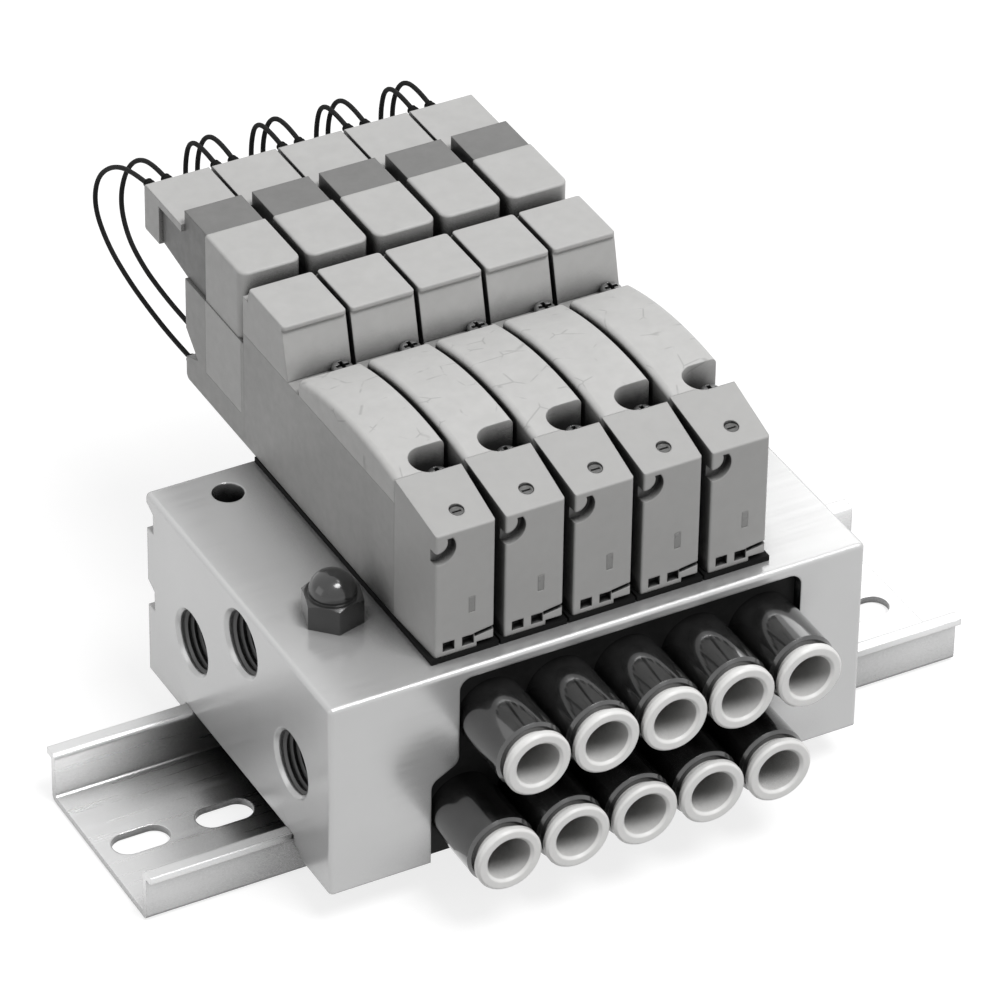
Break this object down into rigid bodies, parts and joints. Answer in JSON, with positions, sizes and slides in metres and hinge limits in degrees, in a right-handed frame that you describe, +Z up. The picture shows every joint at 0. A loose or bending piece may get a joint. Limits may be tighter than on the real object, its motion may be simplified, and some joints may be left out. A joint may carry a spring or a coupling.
{
  "type": "solenoid valve manifold",
  "caption": "Rail-mounted pneumatic valve island: slim solenoid valves side by side on an aluminium manifold with two staggered rows of push-in tube fittings",
  "frame": {"origin": "centre of the rail's underside", "axes": "+X along the rail to the right, +Y from the tube fittings to the lead wires, +Z up from the panel"},
  "size_m": [0.122, 0.1162, 0.0623],
  "materials": {
    "rail_steel": "bright zinc-plated sheet",
    "manifold_aluminium": "satin extruded and machined",
    "clamp_steel": "plain zinc",
    "nut_black": "gloss black",
    "end_plug_steel": "plated",
    "plate_black": "matt black",
    "fitting_black": "gloss black",
    "ring_white": "off-white",
    "seal_rubber": "black",
    "collet_steel": "spring steel",
    "body_grey": "mid grey, fine moulded texture",
    "cap_grey": "mid grey, fine moulded texture",
    "cover_grey": "light warm grey, fine moulded texture",
    "pilot_grey": "light grey, satin",
    "housing_dark": "dark grey, satin",
    "button_grey": "dark grey",
    "lens_grey": "translucent grey",
    "spool_aluminium": "ground",
    "screw_steel": "dark plated",
    "wire_black": "black insulation"
  },
  "bodies": {
    "island": {"din_rail": "rail_steel", "manifold_base": "manifold_aluminium", "rail_clamp": "clamp_steel", "clamp_stud": "clamp_steel", "clamp_nut": "nut_black", "end_plugs": "end_plug_steel", "fitting_seal_plate": "plate_black", "fitting_bodies_upper": "fitting_black", "fitting_bodies_lower": "fitting_black", "tube_seals": "seal_rubber", "grip_collets": "collet_steel", "valve_gaskets": "seal_rubber", "top_covers": "cover_grey", "pilot_blocks": "pilot_grey", "solenoid_bases": "body_grey", "coil_covers": "pilot_grey", "connector_housings": "housing_dark", "lead_plugs": "pilot_grey", "mounting_screws": "screw_steel", "indicator_lenses": "lens_grey", "valve_body_1": "body_grey", "front_cap_1": "cap_grey", "lead_wire_1a": "wire_black", "lead_wire_1b": "wire_black", "valve_body_2": "body_grey", "front_cap_2": "cap_grey", "lead_wire_2a": "wire_black", "lead_wire_2b": "wire_black", "valve_body_3": "body_grey", "front_cap_3": "cap_grey", "lead_wire_3a": "wire_black", "lead_wire_3b": "wire_black", "valve_body_4": "body_grey", "front_cap_4": "cap_grey", "lead_wire_4a": "wire_black", "lead_wire_4b": "wire_black", "valve_body_5": "body_grey", "front_cap_5": "cap_grey", "lead_wire_5a": "wire_black", "lead_wire_5b": "wire_black"},
    "ring_1": {"release_ring_1": "ring_white"},
    "ring_2": {"release_ring_2": "ring_white"},
    "ring_3": {"release_ring_3": "ring_white"},
    "ring_4": {"release_ring_4": "ring_white"},
    "ring_5": {"release_ring_5": "ring_white"},
    "ring_6": {"release_ring_6": "ring_white"},
    "ring_7": {"release_ring_7": "ring_white"},
    "ring_8": {"release_ring_8": "ring_white"},
    "ring_9": {"release_ring_9": "ring_white"},
    "ring_10": {"release_ring_10": "ring_white"},
    "button_1": {"override_button_1": "button_grey"},
    "button_2": {"override_button_2": "button_grey"},
    "button_3": {"override_button_3": "button_grey"},
    "button_4": {"override_button_4": "button_grey"},
    "button_5": {"override_button_5": "button_grey"},
    "spool_1": {"spool_1": "spool_aluminium"},
    "spool_2": {"spool_2": "spool_aluminium"},
    "spool_3": {"spool_3": "spool_aluminium"},
    "spool_4": {"spool_4": "spool_aluminium"},
    "spool_5": {"spool_5": "spool_aluminium"}
  },
  "joints": [
    {"name": "ring_1_press", "type": "slide", "parent": "island", "child": "ring_1", "axis": [0, 1, 0], "range_m": [0, 0.0011], "stiffness_N_per_m": 400, "springref_m": -0.0005},
    {"name": "ring_2_press", "type": "slide", "parent": "island", "child": "ring_2", "axis": [0, 1, 0], "range_m": [0, 0.0011], "stiffness_N_per_m": 400, "springref_m": -0.0005},
    {"name": "ring_3_press", "type": "slide", "parent": "island", "child": "ring_3", "axis": [0, 1, 0], "range_m": [0, 0.0011], "stiffness_N_per_m": 400, "springref_m": -0.0005},
    {"name": "ring_4_press", "type": "slide", "parent": "island", "child": "ring_4", "axis": [0, 1, 0], "range_m": [0, 0.0011], "stiffness_N_per_m": 400, "springref_m": -0.0005},
    {"name": "ring_5_press", "type": "slide", "parent": "island", "child": "ring_5", "axis": [0, 1, 0], "range_m": [0, 0.0011], "stiffness_N_per_m": 400, "springref_m": -0.0005},
    {"name": "ring_6_press", "type": "slide", "parent": "island", "child": "ring_6", "axis": [0, 1, 0], "range_m": [0, 0.0011], "stiffness_N_per_m": 400, "springref_m": -0.0005},
    {"name": "ring_7_press", "type": "slide", "parent": "island", "child": "ring_7", "axis": [0, 1, 0], "range_m": [0, 0.0011], "stiffness_N_per_m": 400, "springref_m": -0.0005},
    {"name": "ring_8_press", "type": "slide", "parent": "island", "child": "ring_8", "axis": [0, 1, 0], "range_m": [0, 0.0011], "stiffness_N_per_m": 400, "springref_m": -0.0005},
    {"name": "ring_9_press", "type": "slide", "parent": "island", "child": "ring_9", "axis": [0, 1, 0], "range_m": [0, 0.0011], "stiffness_N_per_m": 400, "springref_m": -0.0005},
    {"name": "ring_10_press", "type": "slide", "parent": "island", "child": "ring_10", "axis": [0, 1, 0], "range_m": [0, 0.0011], "stiffness_N_per_m": 400, "springref_m": -0.0005},
    {"name": "button_1_press", "type": "slide", "parent": "island", "child": "button_1", "axis": [0, 0, -1], "range_m": [0, 0.0008], "stiffness_N_per_m": 600, "springref_m": -0.0005},
    {"name": "button_2_press", "type": "slide", "parent": "island", "child": "button_2", "axis": [0, 0, -1], "range_m": [0, 0.0008], "stiffness_N_per_m": 600, "springref_m": -0.0005},
    {"name": "button_3_press", "type": "slide", "parent": "island", "child": "button_3", "axis": [0, 0, -1], "range_m": [0, 0.0008], "stiffness_N_per_m": 600, "springref_m": -0.0005},
    {"name": "button_4_press", "type": "slide", "parent": "island", "child": "button_4", "axis": [0, 0, -1], "range_m": [0, 0.0008], "stiffness_N_per_m": 600, "springref_m": -0.0005},
    {"name": "button_5_press", "type": "slide", "parent": "island", "child": "button_5", "axis": [0, 0, -1], "range_m": [0, 0.0008], "stiffness_N_per_m": 600, "springref_m": -0.0005},
    {"name": "spool_1_shift", "type": "slide", "parent": "island", "child": "spool_1", "axis": [0, -1, 0], "range_m": [0, 0.002]},
    {"name": "spool_2_shift", "type": "slide", "parent": "island", "child": "spool_2", "axis": [0, -1, 0], "range_m": [0, 0.002]},
    {"name": "spool_3_shift", "type": "slide", "parent": "island", "child": "spool_3", "axis": [0, -1, 0], "range_m": [0, 0.002]},
    {"name": "spool_4_shift", "type": "slide", "parent": "island", "child": "spool_4", "axis": [0, -1, 0], "range_m": [0, 0.002]},
    {"name": "spool_5_shift", "type": "slide", "parent": "island", "child": "spool_5", "axis": [0, -1, 0], "range_m": [0, 0.002]}
  ]
}
